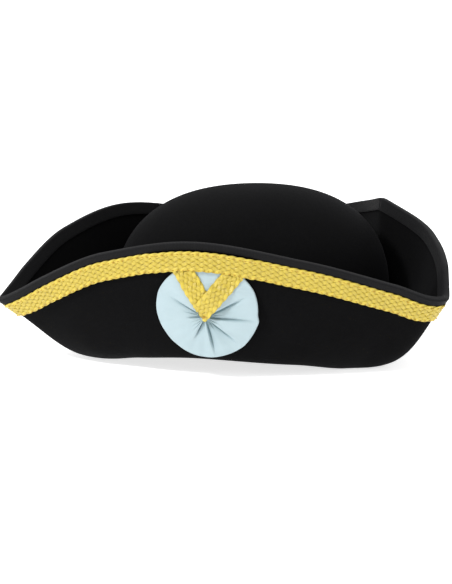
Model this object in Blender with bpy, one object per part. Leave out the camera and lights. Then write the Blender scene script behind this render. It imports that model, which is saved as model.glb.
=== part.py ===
# Tricorne hat, resting on a flat surface as it would by itself.
# One blocked felt body has its wide brim cocked up into three flaps. A folded strip binds the edge of
# the brim, a flat braid runs round the outside of the flaps, and a gathered cloth cockade is held on
# the wearer's left flap by a folded loop of the same braid.
# Metres, +Z up, the front point towards -Y, the wearer's left towards +X, the surface at z = 0.

import math

import bmesh
import bpy
import numpy as np

# Head opening and crown
HEAD_LENGTH = 0.206            # inside, front to back
HEAD_WIDTH = 0.174             # inside, side to side
CROWN_HEIGHT = 0.1217          # surface to the top of the crown
CROWN_SHOULDER = 0.0346        # surface to where the crown's wall starts to round over
CROWN_FULLNESS = 2.5           # 2 gives an elliptic dome, more gives a squarer one
HEADLINE_RADIUS = 0.005        # bend between the crown's wall and the brim, at mid felt
FELT = 0.0025                  # wall of the whole blocked body

# Plan of the finished brim edge, measured from the crown's centre
FRONT_REACH = 0.1970           # to the front point, before it is rounded
REAR_REACH = 0.0908            # back to the two rear points, before they are rounded
REAR_SPREAD = 0.2860           # between the two rear points
SIDE_BULGE = 0.0270            # how far a side flap swells out of its straight chord
REAR_BULGE = 0.0300
FRONT_POINT_INSET = 0.0022     # what rounding takes off the front point
REAR_POINT_INSET = 0.0042
POINT_SOFTNESS = 0.0045        # length of edge over which the rise turns at a point

# Heights and widths that the section table takes shares of
FLAP_HEIGHT = 0.1070           # highest part of the finished edge, at the back
BRIM_FLAT = 0.0445             # widest level part of the brim, at the rear points
FLAP_STIFFNESS = 0.0500        # longest straight run of a flap below its edge
ARCH = 0.0136                  # how high the middle of a side flap stands off the surface
REAR_DENT = 0.0125             # how far the middle of the rear flap is drawn in to the crown
SETTLE = 0.0012                # how far the points' undersides are pressed flat

# Edge binding, braid and the clearance between sewn layers
CLEARANCE = 0.0003
BINDING = 0.0009
BINDING_OUTSIDE = 0.0062       # edge to the binding's lower edge on the outside of a flap
BINDING_INSIDE = 0.0098        # the same on the inside
BRAID = 0.0012
BRAID_WIDTH = 0.0146
BRAID_SPACING = 0.0004         # binding's lower edge to braid
JOIN_GAP = 0.0005              # between the two ends of a strip, at the centre of the back

# Cockade, on the wearer's left flap
COCKADE_RADIUS = 0.0360
COCKADE_PLACE = 0.482          # along the edge, from the front point to the rear point
COCKADE_TUCK = 0.0120          # how far its top is tucked under the braid
COCKADE_THICKNESS = 0.0042
COCKADE_RIM = 0.0018
COCKADE_PRESSED = 0.0012       # where it lies under the braid
COCKADE_DROOP = 0.0020         # how far its foot follows the flap inwards
GATHER_DROP = 0.0072           # the gathers' meeting point, below the cockade's centre
GATHER_SIDE = -0.0009
GATHER_DIMPLE = 0.0016
CREASE_DEPTH = 0.0019

# Loop of braid that holds the cockade
LOOP_WIDTH = 0.0134
LOOP_TIP_DROP = 0.0102         # tip, below the cockade's centre
LOOP_TIP_SIDE = -0.0010
LOOP_FRONT_LEAN = 32.3         # degrees from upright
LOOP_REAR_LEAN = 40.7
LOOP_STAND_OFF = 0.0010        # arms to the tops of the cockade's folds

# Mesh steps
POINT_SPACING = 0.0024
FLAP_SPACING = 0.0125
SPACING_GROWTH = 0.5
CROWN_COLUMNS = 60
LOOP_STEPS = 5
PLAN_STEPS = 3600

# Sections of the brim, from the front point (0) round a rear point (1) to the centre of the back (2).
# rise is a share of FLAP_HEIGHT, level of BRIM_FLAT, straight of FLAP_STIFFNESS, arch of ARCH and
# dent of REAR_DENT.
SECTION_COLUMNS = ("place", "rise", "lean", "level", "straight", "arch", "dent")
SECTIONS = (
    (0.00, 0.475, 36, 0.98, 1.00, 0.00, 0.00),
    (0.05, 0.555, 46, 0.94, 0.90, 0.08, 0.00),
    (0.10, 0.640, 55, 0.92, 0.81, 0.20, 0.00),
    (0.25, 0.835, 72, 0.57, 0.90, 0.64, 0.00),
    (0.45, 0.930, 82, 0.39, 1.00, 1.00, 0.00),
    (0.70, 0.815, 80, 0.43, 0.90, 0.62, 0.00),
    (0.90, 0.650, 66, 0.60, 0.69, 0.08, 0.00),
    (1.00, 0.555, 53, 0.99, 0.71, 0.00, 0.00),
    (1.15, 0.735, 66, 0.60, 0.70, 0.08, 0.00),
    (1.50, 0.860, 80, 0.40, 0.90, 0.53, 0.02),
    (2.00, 1.000, 82, 0.36, 1.00, 0.68, 1.00),
)

# Gathers of the cockade: heading in degrees from the rear, turning upwards, and depth as a share of
# CREASE_DEPTH.
CREASE_COLUMNS = ("heading", "depth")
CREASES = (
    (2, 0.9),
    (29, 1.0),
    (58, 0.5),
    (82, 0.6),
    (108, 0.5),
    (130, 0.5),
    (145, 0.7),
    (166, 0.6),
    (192, 0.4),
    (213, 0.5),
    (233, 0.8),
    (257, 0.7),
    (283, 1.0),
    (303, 0.6),
    (322, 1.0),
    (343, 0.5),
)
COCKADE_RINGS = (0.10, 0.26, 0.44, 0.62, 0.80, 0.93, 1.00)   # shares of the way out to the rim

FELT_COLOUR = (0.0085, 0.0085, 0.0090)
BINDING_COLOUR = (0.0150, 0.0150, 0.0170)
BRAID_COLOUR = (0.760, 0.560, 0.085)
COCKADE_COLOUR = (0.610, 0.740, 0.800)

BRAID_TOP = BINDING_OUTSIDE + BRAID_SPACING
BRAID_FOOT = BRAID_TOP + BRAID_WIDTH
COCKADE_DROP = BRAID_FOOT - COCKADE_TUCK + COCKADE_RADIUS


def heading(angle):
    """Plan direction of an angle: 0 is the front point, a quarter turn is the wearer's left."""
    return np.stack([np.sin(angle), -np.cos(angle)], axis=-1)


def smooth_step(value):
    value = np.clip(value, 0.0, 1.0)
    return value * value * (3.0 - 2.0 * value)


def steady_curve(knots, values, at):
    """Smooth curve through the knots that never overshoots them."""
    step = np.diff(knots)
    slope = np.diff(values) / step
    before, after = slope[:-1], slope[1:]
    weight_before = 2 * step[1:] + step[:-1]
    weight_after = step[1:] + 2 * step[:-1]
    same_way = before * after > 0
    safe_before = np.where(same_way, before, 1.0)
    safe_after = np.where(same_way, after, 1.0)
    mean = (weight_before + weight_after) / (weight_before / safe_before + weight_after / safe_after)
    tangent = np.concatenate([[slope[0]], np.where(same_way, mean, 0.0), [slope[-1]]])
    cell = np.clip(np.searchsorted(knots, at, side="right") - 1, 0, len(step) - 1)
    share = (at - knots[cell]) / step[cell]
    rise = values[cell + 1] - values[cell]
    first = tangent[cell] * step[cell]
    last = tangent[cell + 1] * step[cell]
    return values[cell] + share * (
        first + share * (3 * rise - 2 * first - last + share * (first + last - 2 * rise))
    )


def bulged_side(start, end, bulge, angle):
    """Distance from the crown's centre to an arc that swells out of the chord from start to end."""
    middle = (start + end) / 2
    half = np.linalg.norm(end - start) / 2
    outward = np.array([end[1] - start[1], start[0] - end[0]])
    outward = outward / np.linalg.norm(outward)
    outward = outward * np.sign(outward @ middle)
    radius = (half**2 + bulge**2) / (2 * bulge)
    centre = middle + outward * (bulge - radius)
    along = heading(angle) @ centre
    return along + np.sqrt(along**2 - centre @ centre + radius**2)


def edge_radius(angle):
    """Plan of the finished edge: three bulged sides with rounded points between them."""
    front = np.array([0.0, -FRONT_REACH])
    left = np.array([REAR_SPREAD / 2, REAR_REACH])
    right = np.array([-REAR_SPREAD / 2, REAR_REACH])
    sides = np.stack([
        bulged_side(front, left, SIDE_BULGE, angle),
        bulged_side(left, right, REAR_BULGE, angle),
        bulged_side(right, front, SIDE_BULGE, angle),
    ])
    rear_distance = math.hypot(REAR_SPREAD / 2, REAR_REACH)
    front_power = -math.log(2) / math.log(1 - FRONT_POINT_INSET / FRONT_REACH)
    rear_power = -math.log(2) / math.log(1 - REAR_POINT_INSET / rear_distance)
    frontness = (1 + np.cos(angle)) / 2
    power = front_power * frontness + rear_power * (1 - frontness)
    nearest = sides.min(axis=0)
    return nearest * ((nearest / sides) ** power).sum(axis=0) ** (-1 / power)


REAR_ANGLE = math.pi - math.atan2(REAR_SPREAD / 2, REAR_REACH)
PLAN_ANGLES = np.linspace(0.0, 2 * math.pi, PLAN_STEPS + 1)
PLAN_EDGE = heading(PLAN_ANGLES) * edge_radius(PLAN_ANGLES)[:, None]
PLAN_RUN = np.concatenate([[0.0], np.cumsum(np.linalg.norm(np.diff(PLAN_EDGE, axis=0), axis=1))])
WHOLE_RUN = PLAN_RUN[-1]
REAR_RUN = float(np.interp(REAR_ANGLE, PLAN_ANGLES, PLAN_RUN))


def soft_ends(share, softness):
    """A share of a flap's length, slowed near both of its ends so that the edge turns softly there."""
    from_start = np.sqrt(share**2 + softness**2) - softness
    from_end = np.sqrt((1 - share) ** 2 + softness**2) - softness
    return from_start / (from_start + from_end)


def flap_place(angle):
    """Place of an angle in the section table."""
    run = np.interp(np.mod(angle, 2 * math.pi), PLAN_ANGLES, PLAN_RUN)
    run = np.minimum(run, WHOLE_RUN - run)
    rear_half = WHOLE_RUN / 2 - REAR_RUN
    on_side = soft_ends(np.clip(run / REAR_RUN, 0, 1), POINT_SOFTNESS / REAR_RUN)
    on_rear = soft_ends(np.clip((run - REAR_RUN) / rear_half, 0, 1), POINT_SOFTNESS / rear_half)
    return np.where(run < REAR_RUN, on_side, 1 + on_rear)


def section(angle):
    place = flap_place(angle)
    table = np.array(SECTIONS)
    found = {}
    for column, name in enumerate(SECTION_COLUMNS[1:], start=1):
        found[name] = steady_curve(table[:, 0], table[:, column], place)
    return found


def wall_radius(angle):
    """Distance from the crown's centre to the middle of its wall."""
    half_length = (HEAD_LENGTH + FELT) / 2
    half_width = (HEAD_WIDTH + FELT) / 2
    return 1 / np.sqrt((np.cos(angle) / half_length) ** 2 + (np.sin(angle) / half_width) ** 2)


def headline_height(angle):
    """Height of mid felt where the level brim starts."""
    return FELT / 2 + np.maximum(ARCH * section(angle)["arch"] - SETTLE, 0.0)


def brim_curve(angle, share):
    """Radius and height of mid felt, from the headline bend (0) to the finished edge (1)."""
    cut = section(angle)
    base = FELT / 2 + ARCH * cut["arch"]
    wall = wall_radius(angle)
    edge = edge_radius(angle) - FELT / 2 - REAR_DENT * cut["dent"]
    top = FLAP_HEIGHT * cut["rise"]
    lean = np.radians(cut["lean"])
    straight = FLAP_STIFFNESS * cut["straight"]
    radii = (wall + HEADLINE_RADIUS, wall + BRIM_FLAT * cut["level"], edge - straight * np.cos(lean), edge)
    heights = (base, base, top - straight * np.sin(lean), top)
    blends = ((1 - share) ** 3, 3 * share * (1 - share) ** 2, 3 * share**2 * (1 - share), share**3)
    radius = sum(blend * value[:, None] for blend, value in zip(blends, radii))
    height = sum(blend * value[:, None] for blend, value in zip(blends, heights))
    return radius, FELT / 2 + np.maximum(height - FELT / 2 - SETTLE, 0.0)


CURVE_SHARES = np.linspace(1.0, 0.0, 97)


def brim_run(angle):
    """Distance down the brim from the finished edge, at each of CURVE_SHARES."""
    radius, height = brim_curve(angle, CURVE_SHARES[None, :])
    steps = np.hypot(np.diff(radius, axis=1), np.diff(height, axis=1))
    return np.concatenate([np.zeros((len(angle), 1)), np.cumsum(steps, axis=1)], axis=1)


def brim_points(angle, down):
    """Mid felt at distances down from the finished edge, one row of distances for each angle."""
    run = brim_run(angle)
    share = np.stack([np.interp(down[i], run[i], CURVE_SHARES) for i in range(len(angle))])
    radius, height = brim_curve(angle, share)
    plan = heading(angle)[:, None, :] * radius[:, :, None]
    return np.concatenate([plan, height[:, :, None]], axis=2)


def unit(vectors):
    return vectors / np.linalg.norm(vectors, axis=-1, keepdims=True)


def brim_layer(angle, down, offset):
    """Points of the brim moved off mid felt, outwards and under where offset is positive."""
    nudge_angle, nudge_down = 0.002, 0.0004
    down = np.broadcast_to(down, (len(angle), np.shape(down)[-1]))
    offset = np.broadcast_to(offset, down.shape)
    around = brim_points(angle + nudge_angle, down) - brim_points(angle - nudge_angle, down)
    inward = brim_points(angle, down + nudge_down) - brim_points(angle, np.maximum(down - nudge_down, 0))
    normal = unit(np.cross(inward, around))
    return brim_points(angle, down) + normal * offset[:, :, None]


def crown_points(angle, travel):
    """Mid felt of the crown: travel runs 0 to 1 up the headline bend, 1 to 2 up the wall, 2 to 3 over
    the dome to its top."""
    wall = wall_radius(angle)[:, None]
    base = headline_height(angle)[:, None]
    shoulder = CROWN_SHOULDER - SETTLE
    rise = CROWN_HEIGHT - FELT / 2 - CROWN_SHOULDER
    bend = np.clip(travel, 0, 1) * math.pi / 2
    climb = np.clip(travel - 1, 0, 1)
    over = np.cos(np.clip(travel - 2, 0, 1) * math.pi / 2)
    foot = base + HEADLINE_RADIUS * (1 - np.cos(bend))
    radius = (wall + HEADLINE_RADIUS * (1 - np.sin(bend))) * over
    height = foot + (shoulder - foot) * climb
    height = height + rise * np.maximum(1 - over**CROWN_FULLNESS, 0) ** (1 / CROWN_FULLNESS)
    plan = heading(angle)[:, None, :] * radius[:, :, None]
    return np.concatenate([plan, height[:, :, None]], axis=2)


def crown_layer(angle, travel, offset):
    nudge_angle, nudge_travel = 0.002, 0.01
    travel = np.broadcast_to(travel, (len(angle), len(travel)))
    around = crown_points(angle + nudge_angle, travel) - crown_points(angle - nudge_angle, travel)
    upward = crown_points(angle, np.minimum(travel + nudge_travel, 3)) - crown_points(angle, travel - nudge_travel)
    normal = unit(np.cross(upward, around))
    return crown_points(angle, travel) + normal * offset


def brim_columns():
    """Angles of the brim's mesh columns, close together at the points and wider along the flaps."""
    marks = np.array([0.0, REAR_RUN, WHOLE_RUN - REAR_RUN, WHOLE_RUN])
    to_point = np.abs(PLAN_RUN[:, None] - marks[None, :]).min(axis=1)
    spacing = np.minimum(POINT_SPACING + SPACING_GROWTH * to_point, FLAP_SPACING)
    steps = np.concatenate([[0.0], np.cumsum(np.diff(PLAN_RUN) / spacing[1:])])
    angles = []
    for start, end in zip(marks[:-1], marks[1:]):
        first, last = np.interp((start, end), PLAN_RUN, steps)
        count = 2 * round((last - first) / 2)
        angles.append(np.interp(first + (last - first) * np.arange(count) / count, steps, PLAN_ANGLES))
    return np.concatenate(angles)


class Body:
    """Points and faces of one closed piece while it is put together."""

    def __init__(self):
        self.points = []
        self.faces = []

    def add(self, grid):
        """Store a grid of points and return the grid of their numbers."""
        grid = np.asarray(grid)
        numbers = np.arange(len(self.points), len(self.points) + grid[..., 0].size)
        self.points.extend(grid.reshape(-1, 3).tolist())
        return numbers.reshape(grid.shape[:-1])

    def join(self, first, second, closed=True):
        """Quads between two rows of the same length."""
        for here in range(len(first) if closed else len(first) - 1):
            after = (here + 1) % len(first)
            self.faces.append((int(first[here]), int(first[after]), int(second[after]), int(second[here])))

    def skin(self, grid, closed=True):
        """Quads over a grid whose first index runs round and second runs across."""
        for row in range(grid.shape[1] - 1):
            self.join(grid[:, row], grid[:, row + 1], closed)

    def fan(self, ring, centre):
        for here in range(len(ring)):
            self.faces.append((int(ring[here]), int(ring[(here + 1) % len(ring)]), int(centre)))

    def zip_rings(self, first, first_angles, second, second_angles):
        """Triangles between two rings with different numbers of columns, both starting at angle 0."""
        i, j = 0, 0
        while i < len(first) or j < len(second):
            next_first = first_angles[i + 1] if i + 1 < len(first) else 2 * math.pi
            next_second = second_angles[j + 1] if j + 1 < len(second) else 2 * math.pi
            here, there = int(first[i % len(first)]), int(second[j % len(second)])
            if j >= len(second) or (i < len(first) and next_first <= next_second):
                i += 1
                self.faces.append((here, int(first[i % len(first)]), there))
            else:
                j += 1
                self.faces.append((here, int(second[j % len(second)]), there))

    def finish(self, name, colour, roughness):
        mesh = bpy.data.meshes.new(name)
        mesh.from_pydata(self.points, [], self.faces)
        shape = bmesh.new()
        shape.from_mesh(mesh)
        bmesh.ops.triangulate(shape, faces=shape.faces, quad_method="FIXED", ngon_method="EAR_CLIP")
        bmesh.ops.recalc_face_normals(shape, faces=shape.faces)
        shape.to_mesh(mesh)
        shape.free()
        mesh.shade_smooth()
        mesh.set_sharp_from_angle(angle=math.radians(45))
        piece = bpy.data.objects.new(name, mesh)
        bpy.context.scene.collection.objects.link(piece)
        material = bpy.data.materials.new(name)
        material.use_nodes = True
        surface = material.node_tree.nodes["Principled BSDF"]
        surface.inputs["Base Color"].default_value = (*colour, 1.0)
        surface.inputs["Roughness"].default_value = roughness
        surface.inputs["Metallic"].default_value = 0.0
        mesh.materials.append(material)
        return piece


def hat_felt():
    """Crown and brim as one wall of felt, open below where the head goes in."""
    body = Body()
    angles = brim_columns()
    length = brim_run(angles)[:, -1:]
    trim = np.array([BINDING + CLEARANCE, BRAID_TOP, BRAID_TOP + BRAID_WIDTH / 2, BRAID_FOOT])
    rest = BRAID_FOOT + (length - BRAID_FOOT) * np.array([0.24, 0.44, 0.58, 0.69, 0.79, 0.88, 0.955])
    down = np.concatenate([np.broadcast_to(trim, (len(angles), len(trim))), rest], axis=1)
    turns = np.arange(CROWN_COLUMNS) * 2 * math.pi / CROWN_COLUMNS
    travel = np.array([0.0, 0.5, 1.0, 1.5, 2.0, 2.12, 2.26, 2.40, 2.54, 2.68, 2.82, 2.92])
    edges = []
    for side in (-1, 1):
        brim = brim_layer(angles, down, side * FELT / 2)
        crown = crown_layer(turns, travel, side * FELT / 2)
        if side > 0:
            brim[..., 2] = np.maximum(brim[..., 2], 0.0)
            crown[..., 2] = np.maximum(crown[..., 2], 0.0)
        brim_ids = body.add(brim)
        crown_ids = body.add(crown)
        top = body.add([[0.0, 0.0, CROWN_HEIGHT - SETTLE - FELT / 2 - side * FELT / 2]])
        body.skin(brim_ids)
        body.zip_rings(brim_ids[:, -1], angles, crown_ids[:, 0], turns)
        body.skin(crown_ids)
        body.fan(crown_ids[:, -1], top[0])
        edges.append(brim_ids[:, 0])
    body.join(edges[0], edges[1])
    return body.finish("hat_felt", FELT_COLOUR, 0.9)


def strip_angles(extra=()):
    """Columns of a strip that starts and ends on either side of the centre of the back."""
    half_gap = JOIN_GAP / 2 / float(edge_radius(np.array([math.pi]))[0])
    angles = np.concatenate([brim_columns(), list(extra)])
    angles = np.unique(np.round(np.mod(angles - math.pi, 2 * math.pi), 9))
    inside = angles[(angles > 4 * half_gap) & (angles < 2 * math.pi - 4 * half_gap)]
    return math.pi + np.concatenate([[half_gap], inside, [2 * math.pi - half_gap]])


def edge_strip(name, angles, down, offset, colour, roughness):
    """Strip sewn along the edge: down and offset give its cross-section, in order round it."""
    body = Body()
    ids = body.add(brim_layer(angles, down, offset))
    body.skin(np.concatenate([ids, ids[:, :1]], axis=1), closed=False)
    body.faces.append([int(number) for number in ids[0]])
    body.faces.append([int(number) for number in ids[-1]])
    return body.finish(name, colour, roughness)


def edge_binding():
    """Folded strip over the edge: outside leg, rounded top, inside leg."""
    near = FELT / 2 + CLEARANCE
    far = near + BINDING
    down = np.array([BINDING_OUTSIDE, BINDING, 0, BINDING, BINDING_INSIDE, BINDING_INSIDE, BINDING, BINDING,
                     BINDING_OUTSIDE])
    offset = np.array([far, far, 0, -far, -far, -near, -near, near, near])
    down = np.insert(down, [2, 3], BINDING * 0.25)
    offset = np.insert(offset, [2, 3], [far * 0.72, -far * 0.72])
    return edge_strip("edge_binding", strip_angles(), down, offset, BINDING_COLOUR, 0.85)


class Flap:
    """Flat frame on the outside of the left flap at the cockade's centre: across runs to the rear,
    up runs up the flap, and height is measured off the flat."""

    def __init__(self):
        run = COCKADE_PLACE * REAR_RUN
        self.angle = float(np.interp(run, PLAN_RUN, PLAN_ANGLES))
        here = self.outside(np.array([self.angle]), np.array([COCKADE_DROP]))[0]
        above = self.outside(np.array([self.angle]), np.array([COCKADE_DROP - 0.004]))[0]
        beside = self.outside(np.array([self.angle + 0.03]), np.array([COCKADE_DROP]))[0]
        self.centre = here
        self.across = beside - here
        self.across[2] = 0.0
        self.across = unit(self.across)
        self.up = above - here
        self.up = unit(self.up - self.across * (self.up @ self.across))
        self.out = np.cross(self.across, self.up)
        self.reach = math.hypot(here[0], here[1])

    def outside(self, angle, down):
        return brim_layer(angle, down[:, None], FELT / 2)[:, 0]

    def locate(self, across, up):
        """Angle, distance down and height of the felt under points of the flat frame."""
        angle = self.angle + across / self.reach
        down = COCKADE_DROP - up
        for _ in range(8):
            off = self.outside(angle, down) - self.centre
            angle = angle + (across - off @ self.across) / self.reach
            down = np.maximum(down - (up - off @ self.up), 0.001)
        off = self.outside(angle, down) - self.centre
        return angle, down, off @ self.out

    def points(self, across, up, height):
        return (
            self.centre
            + across[..., None] * self.across
            + up[..., None] * self.up
            + height[..., None] * self.out
        )


def cockade_back(flap, across, up):
    """Height of the cockade's back over the flat frame, and distance down of the felt there. It lies on
    the felt towards the braid and hangs nearly flat towards its foot."""
    reach_down = 0.55 * COCKADE_RADIUS
    _, down, felt = flap.locate(across, np.maximum(up, -reach_down))
    down = down + np.maximum(-reach_down - up, 0)
    droop = -COCKADE_DROOP * (np.minimum(up, 0) / COCKADE_RADIUS) ** 2
    on_felt = smooth_step(up / (0.5 * COCKADE_RADIUS))
    return np.maximum(felt, droop) * (1 - on_felt) + felt * on_felt + CLEARANCE, down


def cockade_envelope(across, up, down):
    """Greatest thickness of the cockade: full in the middle, pressed under the braid, drawn in where
    the gathers meet."""
    out = np.clip(np.hypot(across, up) / COCKADE_RADIUS, 0, 1)
    thick = COCKADE_RIM + (COCKADE_THICKNESS - COCKADE_RIM) * (1 - out**2.5)
    from_gather = np.hypot(across - GATHER_SIDE, up + GATHER_DROP)
    thick = thick - GATHER_DIMPLE * np.exp(-((from_gather / (0.25 * COCKADE_RADIUS)) ** 2))
    clear_of_braid = smooth_step((down - BRAID_FOOT - 0.12 * COCKADE_RADIUS) / (0.2 * COCKADE_RADIUS))
    return COCKADE_PRESSED + (thick - COCKADE_PRESSED) * clear_of_braid


def cockade_spokes():
    """Headings of the cockade's spokes with the depth of crease on each: a crease, the flank after
    it, the fold between two creases, and the flank before the next."""
    headings = np.radians([row[0] for row in CREASES])
    depths = [row[1] for row in CREASES]
    spokes = []
    for here in range(len(CREASES)):
        after = (here + 1) % len(CREASES)
        step = (headings[after] - headings[here]) % (2 * math.pi)
        spokes.append((headings[here], depths[here]))
        spokes.append((headings[here] + 0.28 * step, 0.25 * depths[here]))
        spokes.append((headings[here] + 0.72 * step, 0.25 * depths[after]))
    return spokes


def cockade(flap):
    """Gathered disc of cloth: creases run from the gather to the rim, with soft folds between."""
    body = Body()
    gather = np.array([GATHER_SIDE, -GATHER_DROP])
    spokes = cockade_spokes()
    front_rings = np.array(COCKADE_RINGS)
    fade = np.sin(np.pi * np.clip(front_rings, 0, 1) ** 0.75) * 0.8 + 0.2 * front_rings
    across, up, depth = [], [], []
    for turn, crease in spokes:
        ray = np.array([math.cos(turn), math.sin(turn)])
        along = gather @ ray
        to_rim = -along + math.sqrt(along**2 - gather @ gather + COCKADE_RADIUS**2)
        to_rim = to_rim * (1 - 0.012 * crease)
        across.append(gather[0] + ray[0] * to_rim * front_rings)
        up.append(gather[1] + ray[1] * to_rim * front_rings)
        depth.append(CREASE_DEPTH * crease * fade)
    across, up, depth = np.array(across), np.array(up), np.array(depth)
    back, down = cockade_back(flap, across.ravel(), up.ravel())
    back, down = back.reshape(across.shape), down.reshape(across.shape)
    thick = cockade_envelope(across, up, down)
    thick = np.maximum(thick - depth, np.minimum(thick, COCKADE_PRESSED))
    front = body.add(flap.points(across, up, back + thick))
    kept = [1, 3, 5, 6]
    rear = body.add(flap.points(across[:, kept], up[:, kept], back[:, kept]))
    middle_across, middle_up = np.array([gather[0]]), np.array([gather[1]])
    middle_back, middle_down = cockade_back(flap, middle_across, middle_up)
    middle_thick = cockade_envelope(middle_across, middle_up, middle_down)
    front_middle = body.add(flap.points(middle_across, middle_up, middle_back + middle_thick))
    rear_middle = body.add(flap.points(middle_across, middle_up, middle_back))
    body.skin(front)
    body.skin(rear)
    body.fan(front[:, 0], front_middle[0])
    body.fan(rear[:, 0], rear_middle[0])
    body.join(front[:, -1], rear[:, -1])
    return body.finish("cockade", COCKADE_COLOUR, 0.8)


def edge_braid(flap):
    """Flat braid round the outside of the flaps, raised where the cockade is tucked under it."""
    chord = math.sqrt(COCKADE_RADIUS**2 - (COCKADE_RADIUS - COCKADE_TUCK) ** 2)
    reaches = np.array([chord + 0.003, chord + 0.011])
    extra = flap.angle + np.concatenate([-reaches, reaches]) / flap.reach
    angles = strip_angles(extra)
    aside = np.abs(np.mod(angles, 2 * math.pi) - flap.angle) * flap.reach
    raised = 1 - smooth_step((aside - reaches[0]) / (reaches[1] - reaches[0]))
    near = FELT / 2 + CLEARANCE + (COCKADE_PRESSED + CLEARANCE) * raised[:, None]
    down = np.array([BRAID_TOP, BRAID_TOP + BRAID_WIDTH / 2, BRAID_FOOT])
    down = np.concatenate([down, down[::-1]])
    offset = near + BRAID * np.array([1, 1, 1, 0, 0, 0])
    return edge_strip("edge_braid", angles, down, offset, BRAID_COLOUR, 0.45)


def cockade_loop(flap):
    """One length of braid folded to a point over the cockade, its two arms rising to the edge braid."""
    body = Body()
    tip = np.array([LOOP_TIP_SIDE, -LOOP_TIP_DROP])
    leans = np.radians([LOOP_FRONT_LEAN, LOOP_REAR_LEAN])
    half_angle = leans.sum() / 2
    bisector = (leans[1] - leans[0]) / 2
    crotch = tip + LOOP_WIDTH / math.sin(half_angle) * np.array([math.sin(bisector), math.cos(bisector)])

    def arm_side(start, direction):
        """Points up one edge of an arm to the foot of the edge braid."""
        low, high = 0.0, 2 * COCKADE_RADIUS
        for _ in range(24):
            middle = (low + high) / 2
            spot = start + direction * middle
            _, down, _ = flap.locate(spot[:1], spot[1:])
            if down[0] > BRAID_FOOT + CLEARANCE:
                low = middle
            else:
                high = middle
        return [start + direction * low * step / LOOP_STEPS for step in range(LOOP_STEPS + 1)]

    front_arm = np.array([-math.sin(leans[0]), math.cos(leans[0])])
    rear_arm = np.array([math.sin(leans[1]), math.cos(leans[1])])
    outer = arm_side(tip, front_arm)[::-1] + arm_side(tip, rear_arm)[1:]
    inner = arm_side(crotch, front_arm)[::-1] + arm_side(crotch, rear_arm)[1:]
    outer, inner = np.array(outer), np.array(inner)
    rows = np.stack([outer, (outer + inner) / 2, inner], axis=1)
    across, up = rows[..., 0], rows[..., 1]
    back, down = cockade_back(flap, across.ravel(), up.ravel())
    envelope = cockade_envelope(across.ravel(), up.ravel(), down)
    seat = (back + envelope + LOOP_STAND_OFF).reshape(across.shape)
    under = flap.points(across, up, seat)
    over = flap.points(across, up, seat + BRAID)
    ids = body.add(np.concatenate([over, under[:, ::-1]], axis=1))
    body.skin(np.concatenate([ids, ids[:, :1]], axis=1), closed=False)
    body.faces.append([int(number) for number in ids[0]])
    body.faces.append([int(number) for number in ids[-1]])
    return body.finish("cockade_loop", BRAID_COLOUR, 0.45)


def centre_in_plan(pieces):
    """Move the whole hat so that the middle of its outline is over the origin."""
    spots = np.array([corner.co[:] for piece in pieces for corner in piece.data.vertices])
    shift = -(spots.min(axis=0) + spots.max(axis=0)) / 2
    for piece in pieces:
        for corner in piece.data.vertices:
            corner.co.x += shift[0]
            corner.co.y += shift[1]


for leftover in list(bpy.data.objects):
    bpy.data.objects.remove(leftover, do_unlink=True)

left_flap = Flap()
centre_in_plan([hat_felt(), edge_binding(), edge_braid(left_flap), cockade(left_flap), cockade_loop(left_flap)])
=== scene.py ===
import math

import bmesh
import bpy
import numpy as np
from mathutils import Matrix, Vector


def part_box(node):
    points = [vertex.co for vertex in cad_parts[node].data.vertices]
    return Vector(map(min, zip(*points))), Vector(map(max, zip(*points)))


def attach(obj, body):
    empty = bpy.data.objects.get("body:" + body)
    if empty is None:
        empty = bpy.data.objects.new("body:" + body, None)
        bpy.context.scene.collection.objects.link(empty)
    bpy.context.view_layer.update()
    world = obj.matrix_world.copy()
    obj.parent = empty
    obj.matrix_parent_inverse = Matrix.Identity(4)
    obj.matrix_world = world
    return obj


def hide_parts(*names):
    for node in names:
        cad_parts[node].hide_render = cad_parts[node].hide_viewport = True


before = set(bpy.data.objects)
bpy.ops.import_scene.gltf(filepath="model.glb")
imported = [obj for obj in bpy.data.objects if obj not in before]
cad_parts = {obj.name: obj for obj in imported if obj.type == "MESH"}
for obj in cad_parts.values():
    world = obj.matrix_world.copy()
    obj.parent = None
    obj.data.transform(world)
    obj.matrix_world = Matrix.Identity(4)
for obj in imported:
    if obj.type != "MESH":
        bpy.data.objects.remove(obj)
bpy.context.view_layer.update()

# the hat's own shape, in metres
hat = {
    "headLength": 0.206, "headWidth": 0.174,      # inside the head opening
    "crownHeight": 0.1217, "crownShoulder": 0.0346, "crownFullness": 2.5,
    "headlineBend": 0.005, "felt": 0.0025,
    "frontReach": 0.1970, "rearReach": 0.0908, "rearSpread": 0.2860,
    "sideBulge": 0.0270, "rearBulge": 0.0300,
    "frontInset": 0.0022, "rearInset": 0.0042, "pointSoftness": 0.0045,
    "flapHeight": 0.1070, "brimFlat": 0.0445, "flapStiffness": 0.0500,
    "arch": 0.0136, "rearDent": 0.0125, "settle": 0.0012,
    "clearance": 0.0003,
}
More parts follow.
